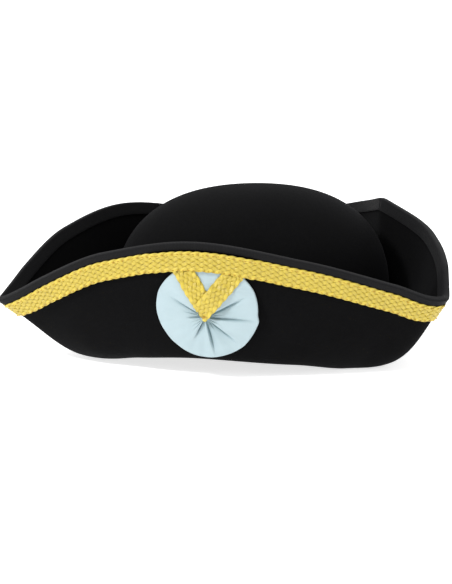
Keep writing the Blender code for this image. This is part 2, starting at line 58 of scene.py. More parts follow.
# place along the edge, then shares: rise, lean in degrees, level, straight, arch, dent
sections = np.array([
    (0.00, 0.475, 36, 0.98, 1.00, 0.00, 0.00),
    (0.05, 0.555, 46, 0.94, 0.90, 0.08, 0.00),
    (0.10, 0.640, 55, 0.92, 0.81, 0.20, 0.00),
    (0.25, 0.835, 72, 0.57, 0.90, 0.64, 0.00),
    (0.45, 0.930, 82, 0.39, 1.00, 1.00, 0.00),
    (0.70, 0.815, 80, 0.43, 0.90, 0.62, 0.00),
    (0.90, 0.650, 66, 0.60, 0.69, 0.08, 0.00),
    (1.00, 0.555, 53, 0.99, 0.71, 0.00, 0.00),
    (1.15, 0.735, 66, 0.60, 0.70, 0.08, 0.00),
    (1.50, 0.860, 80, 0.40, 0.90, 0.53, 0.02),
    (2.00, 1.000, 82, 0.36, 1.00, 0.68, 1.00),
])
binding = {"thickness": 0.0009, "outside": 0.0051, "inside": 0.0098, "joinGap": 0.0005}
braid = {
    "top": 0.0052, "width": 0.0148, "thickness": 0.0012, "band": 0.00035,
    "strands": 8, "repeat": 0.0061, "strandWidth": 0.00300, "strandThickness": 0.00072,
    "weaveHeight": 0.00030, "step": 0.00085,
}
cockadeSet = {
    "radius": 0.0360, "place": 0.482, "tuck": 0.0120, "thickness": 0.0042, "rim": 0.0018,
    "pressed": 0.0012, "droop": 0.0020, "gatherDrop": 0.0072, "gatherSide": -0.0009,
    "dimple": 0.0016, "foldDepth": 0.0030, "flatAcross": 0.084, "columns": 320, "rings": 64,
}
loopSet = {
    "width": 0.0142, "tipDrop": 0.0106, "tipSide": -0.0010, "frontLean": 32.3, "rearLean": 40.7,
    "standOff": 0.0010, "repeat": 0.0058,
}
braidFoot = braid["top"] + braid["width"]
pressFoot = 0.0212                                # the cloth is pressed flat down to here, below the edge
cockadeDrop = pressFoot - cockadeSet["tuck"] + cockadeSet["radius"]


def headingOf(angle):
    return np.stack([np.sin(angle), -np.cos(angle)], axis=-1)


def smoothStep(value):
    value = np.clip(value, 0.0, 1.0)
    return value * value * (3.0 - 2.0 * value)


def unitOf(vectors):
    return vectors / np.linalg.norm(vectors, axis=-1, keepdims=True)


def steadyCurve(knots, values, at):
    step = np.diff(knots)
    slope = np.diff(values) / step
    before, after = slope[:-1], slope[1:]
    weightBefore = 2 * step[1:] + step[:-1]
    weightAfter = step[1:] + 2 * step[:-1]
    sameWay = before * after > 0
    safeBefore = np.where(sameWay, before, 1.0)
    safeAfter = np.where(sameWay, after, 1.0)
    mean = (weightBefore + weightAfter) / (weightBefore / safeBefore + weightAfter / safeAfter)
    tangent = np.concatenate([[slope[0]], np.where(sameWay, mean, 0.0), [slope[-1]]])
    cell = np.clip(np.searchsorted(knots, at, side="right") - 1, 0, len(step) - 1)
    share = (at - knots[cell]) / step[cell]
    rise = values[cell + 1] - values[cell]
    first = tangent[cell] * step[cell]
    last = tangent[cell + 1] * step[cell]
    return values[cell] + share * (
        first + share * (3 * rise - 2 * first - last + share * (first + last - 2 * rise))
    )


def bulgedSide(start, end, bulge, angle):
    middle = (start + end) / 2
    half = np.linalg.norm(end - start) / 2
    outward = np.array([end[1] - start[1], start[0] - end[0]])
    outward = outward / np.linalg.norm(outward)
    outward = outward * np.sign(outward @ middle)
    radius = (half**2 + bulge**2) / (2 * bulge)
    centre = middle + outward * (bulge - radius)
    along = headingOf(angle) @ centre
    return along + np.sqrt(along**2 - centre @ centre + radius**2)


def edgeRadius(angle):
    front = np.array([0.0, -hat["frontReach"]])
    left = np.array([hat["rearSpread"] / 2, hat["rearReach"]])
    right = np.array([-hat["rearSpread"] / 2, hat["rearReach"]])
    sides = np.stack([
        bulgedSide(front, left, hat["sideBulge"], angle),
        bulgedSide(left, right, hat["rearBulge"], angle),
        bulgedSide(right, front, hat["sideBulge"], angle),
    ])
    rearDistance = math.hypot(hat["rearSpread"] / 2, hat["rearReach"])
    frontPower = -math.log(2) / math.log(1 - hat["frontInset"] / hat["frontReach"])
    rearPower = -math.log(2) / math.log(1 - hat["rearInset"] / rearDistance)
    frontness = (1 + np.cos(angle)) / 2
    power = frontPower * frontness + rearPower * (1 - frontness)
    nearest = sides.min(axis=0)
    return nearest * ((nearest / sides) ** power).sum(axis=0) ** (-1 / power)


turnSteps = 3600
planAngles = np.linspace(0.0, 2 * math.pi, turnSteps + 1)
planEdge = headingOf(planAngles) * edgeRadius(planAngles)[:, None]
planRun = np.concatenate([[0.0], np.cumsum(np.linalg.norm(np.diff(planEdge, axis=0), axis=1))])
wholeRun = planRun[-1]
rearAngle = math.pi - math.atan2(hat["rearSpread"] / 2, hat["rearReach"])
rearRun = float(np.interp(rearAngle, planAngles, planRun))


def softEnds(share, softness):
    fromStart = np.sqrt(share**2 + softness**2) - softness
    fromEnd = np.sqrt((1 - share) ** 2 + softness**2) - softness
    return fromStart / (fromStart + fromEnd)


def sectionAt(angle):
    run = np.interp(np.mod(angle, 2 * math.pi), planAngles, planRun)
    run = np.minimum(run, wholeRun - run)
    rearHalf = wholeRun / 2 - rearRun
    onSide = softEnds(np.clip(run / rearRun, 0, 1), hat["pointSoftness"] / rearRun)
    onRear = softEnds(np.clip((run - rearRun) / rearHalf, 0, 1), hat["pointSoftness"] / rearHalf)
    place = np.where(run < rearRun, onSide, 1 + onRear)
    return [steadyCurve(sections[:, 0], sections[:, column], place) for column in range(1, 7)]


def wallRadius(angle):
    halfLength = (hat["headLength"] + hat["felt"]) / 2
    halfWidth = (hat["headWidth"] + hat["felt"]) / 2
    return 1 / np.sqrt((np.cos(angle) / halfLength) ** 2 + (np.sin(angle) / halfWidth) ** 2)


curveShares = np.linspace(1.0, 0.0, 97)


def brimCurve(angle, share):
    rise, lean, level, straight, arch, dent = sectionAt(angle)
    base = hat["felt"] / 2 + hat["arch"] * arch
    wall = wallRadius(angle)
    edge = edgeRadius(angle) - hat["felt"] / 2 - hat["rearDent"] * dent
    top = hat["flapHeight"] * rise
    lean = np.radians(lean)
    straight = hat["flapStiffness"] * straight
    radii = (wall + hat["headlineBend"], wall + hat["brimFlat"] * level, edge - straight * np.cos(lean), edge)
    heights = (base, base, top - straight * np.sin(lean), top)
    blends = ((1 - share) ** 3, 3 * share * (1 - share) ** 2, 3 * share**2 * (1 - share), share**3)
    radius = sum(blend * value[:, None] for blend, value in zip(blends, radii))
    height = sum(blend * value[:, None] for blend, value in zip(blends, heights))
    return radius, hat["felt"] / 2 + np.maximum(height - hat["felt"] / 2 - hat["settle"], 0.0)


def brimRun(angle):
    radius, height = brimCurve(angle, curveShares[None, :])
    steps = np.hypot(np.diff(radius, axis=1), np.diff(height, axis=1))
    return np.concatenate([np.zeros((len(angle), 1)), np.cumsum(steps, axis=1)], axis=1)


def brimPoints(angle, down):
    run = brimRun(angle)
    share = np.stack([np.interp(down[i], run[i], curveShares) for i in range(len(angle))])
    radius, height = brimCurve(angle, share)
    plan = headingOf(angle)[:, None, :] * radius[:, :, None]
    return np.concatenate([plan, height[:, :, None]], axis=2)


def brimFrame(angle, down):
    nudgeAngle, nudgeDown = 0.002, 0.0004
    down = np.broadcast_to(down, (len(angle), np.shape(down)[-1]))
    around = brimPoints(angle + nudgeAngle, down) - brimPoints(angle - nudgeAngle, down)
    inward = brimPoints(angle, down + nudgeDown) - brimPoints(angle, np.maximum(down - nudgeDown, 0))
    return brimPoints(angle, down), unitOf(np.cross(inward, around))


def brimLayer(angle, down, offset):
    points, normal = brimFrame(angle, down)
    return points + normal * np.broadcast_to(offset, points.shape[:2])[:, :, None]


def crownPoints(angle, travel):
    wall = wallRadius(angle)[:, None]
    base = hat["felt"] / 2 + np.maximum(hat["arch"] * sectionAt(angle)[4] - hat["settle"], 0.0)[:, None]
    bendRadius = hat["headlineBend"]
    shoulder = hat["crownShoulder"] - hat["settle"]
    rise = hat["crownHeight"] - hat["felt"] / 2 - hat["crownShoulder"]
    bend = np.clip(travel, 0, 1) * math.pi / 2
    climb = np.clip(travel - 1, 0, 1)
    over = np.cos(np.clip(travel - 2, 0, 1) * math.pi / 2)
    foot = base + bendRadius * (1 - np.cos(bend))
    radius = (wall + bendRadius * (1 - np.sin(bend))) * over
    height = foot + (shoulder - foot) * climb
    full = hat["crownFullness"]
    height = height + rise * np.maximum(1 - over**full, 0) ** (1 / full)
    plan = headingOf(angle)[:, None, :] * radius[:, :, None]
    return np.concatenate([plan, height[:, :, None]], axis=2)


def crownLayer(angle, travel, offset):
    nudgeAngle, nudgeTravel = 0.002, 0.01
    travel = np.broadcast_to(travel, (len(angle), len(travel)))
    around = crownPoints(angle + nudgeAngle, travel) - crownPoints(angle - nudgeAngle, travel)
    upward = crownPoints(angle, np.minimum(travel + nudgeTravel, 3)) - crownPoints(angle, travel - nudgeTravel)
    return crownPoints(angle, travel) + unitOf(np.cross(upward, around)) * offset


def angleAtRun(run):
    turns = np.floor(run / wholeRun)
    return np.interp(run - turns * wholeRun, planRun, planAngles) + turns * 2 * math.pi


# the hat stands centred over the frame's origin, so the crown's centre is a little behind it
ring = np.linspace(0, 2 * math.pi, 1441)[:-1]
outline = brimLayer(ring, np.array([0.0, binding["thickness"], binding["outside"]]),
                    np.array([0.0, 1.0, 1.0]) * (hat["felt"] / 2 + hat["clearance"] + binding["thickness"]))
bindingLow, bindingHigh = (np.array(corner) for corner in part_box("edge_binding"))
centreShift = (bindingLow + bindingHigh) / 2 - (outline.min(axis=(0, 1)) + outline.max(axis=(0, 1))) / 2
centreShift[2] = 0.0
print("shape ready, crown centre at", [round(float(value), 5) for value in centreShift[:2]])


# mesh making
class Shell:
    # points, faces and woven co-ordinates of one piece while it is put together

    def __init__(self):
        self.points, self.lay, self.faces, self.count = [], [], [], 0

    def add(self, grid, lay=None):
        grid = np.asarray(grid, dtype=float)
        numbers = np.arange(self.count, self.count + grid[..., 0].size).reshape(grid.shape[:-1])
        self.points.append(grid.reshape(-1, 3))
        lay = np.zeros_like(grid) if lay is None else np.broadcast_to(lay, grid.shape)
        self.lay.append(np.asarray(lay, dtype=float).reshape(-1, 3))
        self.count += grid[..., 0].size
        return numbers

    def skin(self, ids, closedRound=False, closedAcross=False):
        # quads over a grid, which may close on itself round (first index) or across (second)
        if closedRound:
            ids = np.concatenate([ids, ids[:1]], axis=0)
        if closedAcross:
            ids = np.concatenate([ids, ids[:, :1]], axis=1)
        quads = np.stack([ids[:-1, :-1], ids[1:, :-1], ids[1:, 1:], ids[:-1, 1:]], axis=-1).reshape(-1, 4)
        self.faces.extend(quads.tolist())

    def fan(self, ringIds, centre):
        after = np.roll(ringIds, -1)
        spokes = np.stack([ringIds, after, np.full(len(ringIds), centre)], axis=-1)
        self.faces.extend(spokes.tolist())

    def cap(self, ringIds):
        self.faces.append([int(number) for number in ringIds])

    def finish(self, name, material, slotName, replacing=(), shift=True):
        points = np.concatenate(self.points) + (centreShift if shift else 0.0)
        mesh = bpy.data.meshes.new(name)
        mesh.from_pydata(points.tolist(), [], self.faces)
        layer = mesh.attributes.new("lay", "FLOAT_VECTOR", "POINT")
        layer.data.foreach_set("vector", np.concatenate(self.lay).ravel())
        shape = bmesh.new()
        shape.from_mesh(mesh)
        bmesh.ops.recalc_face_normals(shape, faces=shape.faces)
        shape.to_mesh(mesh)
        shape.free()
        mesh.shade_smooth()
        piece = bpy.data.objects.new(name, mesh)
        bpy.context.scene.collection.objects.link(piece)
        mesh.materials.append(material)
        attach(piece, "root")
        if replacing:
            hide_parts(*replacing)
        print("made", name, "with", sum(len(face) - 2 for face in self.faces), "triangles")
        return piece


def tubes(shell, centres, sides, ups, halfWidth, halfHeight, layRows, corners=8, square=0.85):
    # one flattened tube along a path, with blunt ends
    turn = (np.arange(corners) + 0.5) * 2 * math.pi / corners
    wide = np.sign(np.cos(turn)) * np.abs(np.cos(turn)) ** square
    tall = np.sign(np.sin(turn)) * np.abs(np.sin(turn)) ** square
    taper = np.ones(len(centres))
    taper[0] = taper[-1] = 0.55
    grid = (
        centres[:, None]
        + sides[:, None] * (wide[None, :] * taper[:, None] * halfWidth)[..., None]
        + ups[:, None] * (tall[None, :] * taper[:, None] * halfHeight)[..., None]
    )
    lay = np.stack(np.broadcast_arrays(layRows[0][:, None], wide[None, :] * halfWidth, layRows[1][:, None]), axis=-1)
    return grid, lay


# shader making
class Wire:
    # a shader value; sums, products and other arithmetic on it add Math nodes, and held() adds a Clamp node

    def __init__(self, maker, socket):
        self.maker, self.socket = maker, socket

    def maths(self, operation, *others):
        return self.maker.node("ShaderNodeMath", {"operation": operation}, [self, *others])

    def __add__(self, other):
        return self.maths("ADD", other)

    def __radd__(self, other):
        return self.maths("ADD", other)

    def __sub__(self, other):
        return self.maths("SUBTRACT", other)

    def __rsub__(self, other):
        return self.maker.node("ShaderNodeMath", {"operation": "SUBTRACT"}, [other, self])

    def __mul__(self, other):
        return self.maths("MULTIPLY", other)

    def __rmul__(self, other):
        return self.maths("MULTIPLY", other)

    def __truediv__(self, other):
        return self.maths("DIVIDE", other)

    def __rtruediv__(self, other):
        return self.maker.node("ShaderNodeMath", {"operation": "DIVIDE"}, [other, self])

    def __pow__(self, other):
        return self.maths("POWER", other)

    def __neg__(self):
        return self.maths("MULTIPLY", -1.0)

    def sine(self):
        return self.maths("SINE")

    def held(self):
        return self.maker.node("ShaderNodeClamp", {}, [self, 0.0, 1.0])


class Finish:
    # one material: node() adds any node, settings first, then the values or links of its sockets

    def __init__(self, name, **fixed):
        self.material = bpy.data.materials.new(name)
        self.material.use_nodes = True
        self.tree = self.material.node_tree
        self.surface = self.tree.nodes["Principled BSDF"]
        for socketName, value in fixed.items():
            self.surface.inputs[socketName].default_value = value

    def node(self, kind, settings, inputs, output=0):
        made = self.tree.nodes.new(kind)
        for key, value in settings.items():
            if key == "stops":
                self.fillRamp(made.color_ramp, value)
            else:
                setattr(made, key, value)
        pairs = inputs.items() if isinstance(inputs, dict) else enumerate(inputs)
        for key, value in pairs:
            self.feed(made.inputs[key], value)
        return Wire(self, made.outputs[output])

    def feed(self, socket, value):
        if isinstance(value, Wire):
            self.tree.links.new(value.socket, socket)
        else:
            socket.default_value = value

    def fillRamp(self, ramp, stops):
        while len(ramp.elements) < len(stops):
            ramp.elements.new(0.5)
        for element, (place, colour) in zip(ramp.elements, stops):
            element.position, element.color = place, (*colour, 1.0)

    def place(self):
        return self.node("ShaderNodeTexCoord", {}, {}, output="Object")

    def noise(self, scale, detail=3.0, roughness=0.55, at=None):
        inputs = {"Vector": at or self.place(), "Scale": scale, "Detail": detail, "Roughness": roughness}
        return self.node("ShaderNodeTexNoise", {}, inputs)

    def lay(self):
        found = self.node("ShaderNodeAttribute", {"attribute_name": "lay"}, {}, output="Vector")
        split = self.node("ShaderNodeSeparateXYZ", {}, [found])
        return [Wire(self, split.socket.node.outputs[axis]) for axis in range(3)]

    def blend(self, share, first, second):
        first, second = (tone if isinstance(tone, Wire) else (*tone, 1.0) for tone in (first, second))
        return self.node("ShaderNodeMix", {"data_type": "RGBA"}, {0: share, 6: first, 7: second}, output=2)

    def bump(self, height, distance, strength=1.0, under=None):
        inputs = {"Height": height, "Distance": distance, "Strength": strength}
        if under:
            inputs["Normal"] = under
        return self.node("ShaderNodeBump", {}, inputs)

    def wear(self, **linked):
        for socketName, value in linked.items():
            self.feed(self.surface.inputs[socketName.replace("_", " ")], value)
        return self.material


def feltFinish():
    made = Finish("feltWool", **{"Specular IOR Level": 0.06, "Sheen Weight": 0.03, "Sheen Roughness": 0.4})
    made.surface.inputs["Sheen Tint"].default_value = (0.55, 0.56, 0.60, 1.0)
    cloud = made.noise(22.0, 4.0)
    fibre = made.noise(900.0, 3.0, 0.7)
    mat = made.noise(260.0, 4.0, 0.65)
    share = (cloud * 0.45 + fibre * 0.35 + mat * 0.35 - 0.12).held()
    colour = made.blend(share, (0.0008, 0.0008, 0.0009), (0.0050, 0.0050, 0.0054))
    rough = 0.88 + fibre * 0.12
    normal = made.bump(fibre * 0.6 + mat, 0.00022, 0.7)
    return made.wear(Base_Color=colour, Roughness=rough, Normal=normal)


def bindingFinish():
    made = Finish("bindingTape", **{"Specular IOR Level": 0.14, "Sheen Weight": 0.04, "Sheen Roughness": 0.4})
    along, across, turned = made.lay()
    rib = (along * (2 * math.pi / 0.0010)).sine() * 0.5 + 0.5
    fine = made.noise(700.0, 2.0)
    colour = made.blend((rib * 0.55 + fine * 0.45).held(), (0.0024, 0.0024, 0.0028), (0.0064, 0.0064, 0.0074))
    # painted highlight: the tape's colour is lightened along its folded edge
    foldHighlighted = made.blend(turned, colour, (0.015, 0.015, 0.016))
    normal = made.bump(rib + fine * 0.3, 0.00016, 0.8)
    return made.wear(Base_Color=foldHighlighted, Roughness=0.62 + fine * 0.2, Normal=normal)


def braidFinish(name="braidThread", light=(0.66, 0.510, 0.045), dark=(0.25, 0.168, 0.006)):
    made = Finish(name, **{"Specular IOR Level": 0.70})
    along, across, tone = made.lay()
    ply = (across * (2 * math.pi / 0.00046) + along * (2 * math.pi / 0.0041)).sine() * 0.5 + 0.5
    fleck = made.noise(520.0, 3.0, 0.6)
    patch = made.noise(70.0, 3.0)
    # painted light: tone lightens the thread on top of the weave and at the plait's edges, and darkens it in the dips
    share = (tone * 0.75 + ply * 0.25 + fleck * 0.45 + patch * 0.20 - 0.36).held()
    colour = made.blend(share, dark, light)
    rough = 0.24 + fleck * 0.26
    normal = made.bump(ply * 0.8 + fleck * 0.5, 0.00012, 0.8)
    return made.wear(Base_Color=colour, Roughness=rough, Normal=normal)


def cockadeFinish():
    made = Finish("cockadeSilk", **{"Specular IOR Level": 0.40, "Sheen Weight": 0.15, "Sheen Roughness": 0.4})
    across, up, hollow = made.lay()
    waver = made.noise(60.0, 3.0)
    fine = made.noise(1100.0, 2.0)
    rib = ((up + waver * 0.0009) * (2 * math.pi / 0.00085)).sine() * 0.5 + 0.5
    cross = (across * (2 * math.pi / 0.00055)).sine() * 0.5 + 0.5
    soft = (rib * 0.35 + cross * 0.12 + fine * 0.25 + waver * 0.45 - 0.1).held()
    cloth = made.blend(soft, (0.315, 0.415, 0.450), (0.430, 0.525, 0.555))
    shaded = made.blend((hollow * 0.85).held(), cloth, (0.135, 0.235, 0.262))
    normal = made.bump(rib + cross * 0.4 + fine * 0.3, 0.00010, 0.7)
    return made.wear(Base_Color=shaded, Roughness=0.52 + fine * 0.16, Normal=normal)


def stitchFinish():
    made = Finish("stitchThread", **{"Specular IOR Level": 0.4})
    fleck = made.noise(900.0, 2.0)
    colour = made.blend(fleck, (0.34, 0.170, 0.012), (0.50, 0.290, 0.030))
    return made.wear(Base_Color=colour, Roughness=0.45 + fleck * 0.2, Normal=made.bump(fleck, 0.0001, 0.6))


feltWool, bindingTape, cockadeSilk, stitchThread = feltFinish(), bindingFinish(), cockadeFinish(), stitchFinish()
braidThread = braidFinish()
# painted shade: the band under the strands gets a darker copy of the thread's finish, for the shade in the gaps
# between strands
shadedBraidGround = braidFinish("shadedBraidGround", (0.40, 0.290, 0.024), (0.24, 0.160, 0.008))
print("finishes ready")


# felt body
feltSet = {"columns": 420, "brimRows": 46, "crownRows": (0.0, 0.34, 0.67, 1.0, 1.35, 1.7), "domeRows": 40}


def makeFelt():
    body = Shell()
    angles = angleAtRun(np.arange(feltSet["columns"]) * wholeRun / feltSet["columns"])
    length = brimRun(angles)[:, -1:]
    first = binding["thickness"] + hat["clearance"]
    share = np.linspace(0, 1, feltSet["brimRows"])[None, :]
    down = first + (length - first) * share
    travel = np.concatenate([feltSet["crownRows"], 2 + 0.965 * np.linspace(0, 1, feltSet["domeRows"]) ** 0.9])
    half = hat["felt"] / 2
    rims = []
    for side in (-1, 1):
        brim = brimLayer(angles, down, side * half)
        crown = crownLayer(angles, travel, side * half)
        sheetGrid = np.concatenate([brim[:, :-1], crown], axis=1)
        if side > 0:
            sheetGrid[..., 2] = np.maximum(sheetGrid[..., 2], 0.0)
        ids = body.add(sheetGrid)
        top = body.add([[0.0, 0.0, hat["crownHeight"] - hat["settle"] - half - side * half]])
        body.skin(ids, closedRound=True)
        body.fan(ids[:, -1], int(top[0]))
        rims.append(ids[:, 0])
    body.skin(np.stack([rims[1], rims[0]], axis=1), closedRound=True)
    return body.finish("feltBody", feltWool, "felt", ["hat_felt"])


feltBody = makeFelt()


# edge binding
halfJoin = binding["joinGap"] / 2
edgeRuns = np.linspace(wholeRun / 2 + halfJoin, wholeRun * 1.5 - halfJoin, 1100)
edgeAngles = angleAtRun(edgeRuns)


def roundedSection(corners, radius, steps=4):
    # a closed outline with its corners rounded: each corner is (down, offset, share of the radius)
    out = []
    for here, (down, offset, share) in enumerate(corners):
        point = np.array([down, offset])
        before = np.array(corners[here - 1][:2]) - point
        after = np.array(corners[(here + 1) % len(corners)][:2]) - point
        reach = min(radius * share, 0.45 * np.linalg.norm(before), 0.45 * np.linalg.norm(after))
        start = point + before / np.linalg.norm(before) * reach
        end = point + after / np.linalg.norm(after) * reach
        for step in np.linspace(0, 1, steps):
            out.append((1 - step) ** 2 * start + 2 * step * (1 - step) * point + step**2 * end)
    return np.array(out)


def makeBinding():
    near = hat["felt"] / 2 + hat["clearance"]
    far = near + binding["thickness"]
    fold = [(binding["thickness"] * (1 - math.cos(turn)) * 1.0, far * math.sin(turn), 0)
            for turn in np.radians([85, 70, 52, 32, 12, -12, -32, -52, -70, -85])]
    legs = [(down, far, 0) for down in np.linspace(binding["outside"] - 0.0005, 0.0014, 5)]
    inner = [(down, -far, 0) for down in np.linspace(0.0014, binding["inside"] - 0.0005, 7)]
    foot = [(binding["inside"] - 0.00012, -far + 0.00012, 0), (binding["inside"], -(near + far) / 2, 0),
            (binding["inside"] - 0.0001, -near, 0)]
    insideLine = [(0.004, -near, 0), (0.0011, -near, 0), (0.0011, near, 0), (0.004, near, 0)]
    lip = [(binding["outside"] - 0.0001, near, 0), (binding["outside"], (near + far) / 2, 0),
           (binding["outside"] - 0.00012, far - 0.00012, 0)]
    rows = np.array(legs + fold + inner + foot + insideLine + lip)
    # turned marks the tape's folded edge, where its colour gets a painted highlight
    turned = np.exp(-(((np.arange(len(rows)) - (len(legs) + len(fold) / 2 - 0.5)) / 2.2) ** 2))
    body = Shell()
    lay = np.stack(np.broadcast_arrays(edgeRuns[:, None], rows[None, :, 0], turned[None, :] * 0.75), axis=-1)
    ids = body.add(brimLayer(edgeAngles, rows[:, 0], rows[:, 1]), lay)
    body.skin(ids, closedAcross=True)
    body.cap(ids[0])
    body.cap(ids[-1])
    return body.finish("edgeBindingTape", bindingTape, "binding", ["edge_binding"])


edgeBindingTape = makeBinding()


# flat frame of the cockade's flap
class FlapFace:
    # across runs to the rear, up runs up the flap, height is measured off the flat

    def __init__(self):
        self.angle = float(angleAtRun(np.array([cockadeSet["place"] * rearRun]))[0])
        here = self.outside(np.array([self.angle]), np.array([cockadeDrop]))[0]
        above = self.outside(np.array([self.angle]), np.array([cockadeDrop - 0.004]))[0]
        beside = self.outside(np.array([self.angle + 0.03]), np.array([cockadeDrop]))[0]
        self.centre = here
        self.across = beside - here
        self.across[2] = 0.0
        self.across = unitOf(self.across)
        self.up = above - here
        self.up = unitOf(self.up - self.across * (self.up @ self.across))
        self.out = np.cross(self.across, self.up)
        self.reach = math.hypot(here[0], here[1])
        self.marks = np.linspace(-0.056, 0.056, 71)
        across, up = np.meshgrid(self.marks, self.marks, indexing="ij")
        angle, down, felt = self.locate(across.ravel(), np.maximum(up.ravel(), -0.55 * cockadeSet["radius"]))
        down = down + np.maximum(-0.55 * cockadeSet["radius"] - up.ravel(), 0)
        droop = -cockadeSet["droop"] * (np.minimum(up.ravel(), 0) / cockadeSet["radius"]) ** 2
        onFelt = smoothStep(up.ravel() / (0.5 * cockadeSet["radius"]))
        back = np.maximum(felt, droop) * (1 - onFelt) + felt * onFelt + hat["clearance"]
        self.backGrid, self.downGrid = back.reshape(across.shape), down.reshape(across.shape)

    def outside(self, angle, down):
        return brimLayer(angle, down[:, None], hat["felt"] / 2)[:, 0]

    def locate(self, across, up):
        angle, down = self.angle + across / self.reach, cockadeDrop - up
        for _ in range(8):
            off = self.outside(angle, down) - self.centre
            angle = angle + (across - off @ self.across) / self.reach
            down = np.maximum(down - (up - off @ self.up), 0.001)
        return angle, down, (self.outside(angle, down) - self.centre) @ self.out

    def looked(self, grid, across, up):
        # the grid's value at points of the flat, between its four nearest marks
        step = self.marks[1] - self.marks[0]
        column = np.clip((across - self.marks[0]) / step, 0, len(self.marks) - 1.001)
        row = np.clip((up - self.marks[0]) / step, 0, len(self.marks) - 1.001)
        i, j = column.astype(int), row.astype(int)
        s, t = column - i, row - j
        return (grid[i, j] * (1 - s) * (1 - t) + grid[i + 1, j] * s * (1 - t)
                + grid[i, j + 1] * (1 - s) * t + grid[i + 1, j + 1] * s * t)

    def back(self, across, up):
        return self.looked(self.backGrid, across, up)

    def down(self, across, up):
        return self.looked(self.downGrid, across, up)

    def points(self, across, up, height):
        return (self.centre + across[..., None] * self.across + up[..., None] * self.up
                + height[..., None] * self.out)


flap = FlapFace()
print("cockade's flap ready")


def cockadeThickness(across, up):
    out = np.clip(np.hypot(across, up) / cockadeSet["radius"], 0, 1)
    thick = cockadeSet["rim"] + (cockadeSet["thickness"] - cockadeSet["rim"]) * (1 - out**2.5)
    fromGather = np.hypot(across - cockadeSet["gatherSide"], up + cockadeSet["gatherDrop"])
    thick = thick - cockadeSet["dimple"] * np.exp(-((fromGather / (0.25 * cockadeSet["radius"])) ** 2))
    down = flap.down(across, up)
    clear = smoothStep((down - pressFoot - 0.12 * cockadeSet["radius"]) / (0.2 * cockadeSet["radius"]))
    return cockadeSet["pressed"] + (thick - cockadeSet["pressed"]) * clear


# gathered cockade
# heading in degrees from the rear turning up, depth share, reach as a share of the way to the rim, and
# the side on which the cloth slopes down to the gather (0 for neither)
gathers = np.array([
    (-3, 0.80, 1.05, 1), (13, 0.40, 0.40, 0), (29, 1.20, 0.90, -1), (50, 0.50, 0.60, 0), (70, 1.00, 1.00, 0),
    (86, 0.40, 0.60, 0), (102, 0.70, 0.90, 0), (125, 0.45, 0.50, 0), (147, 0.80, 0.85, 1), (161, 0.60, 0.50, 0),
    (180, 0.70, 0.42, -1), (197, 0.40, 0.36, 0), (214, 0.45, 0.42, 0), (228, 0.50, 0.45, 0),
    (243, 0.85, 0.66, 1), (256, 0.45, 0.40, 0), (267, 0.40, 0.36, 0), (284, 1.15, 0.98, 1), (296, 0.45, 0.36, 0),
    (308, 0.45, 0.42, 0), (322, 1.10, 0.92, -1), (339, 0.45, 0.42, 0),
])
# heading, rim radius as a share of the cockade's
rimShape = np.array([
    (-15, 1.035), (-8, 0.985), (19, 0.970), (37, 0.935), (90, 0.95), (135, 0.920), (161, 0.965), (180, 0.955),
    (190, 0.950), (211, 0.930), (234, 0.955), (253, 0.985), (272, 1.0), (292, 1.015), (312, 1.04), (327, 1.025),
    (338, 1.025), (345, 1.035),
])


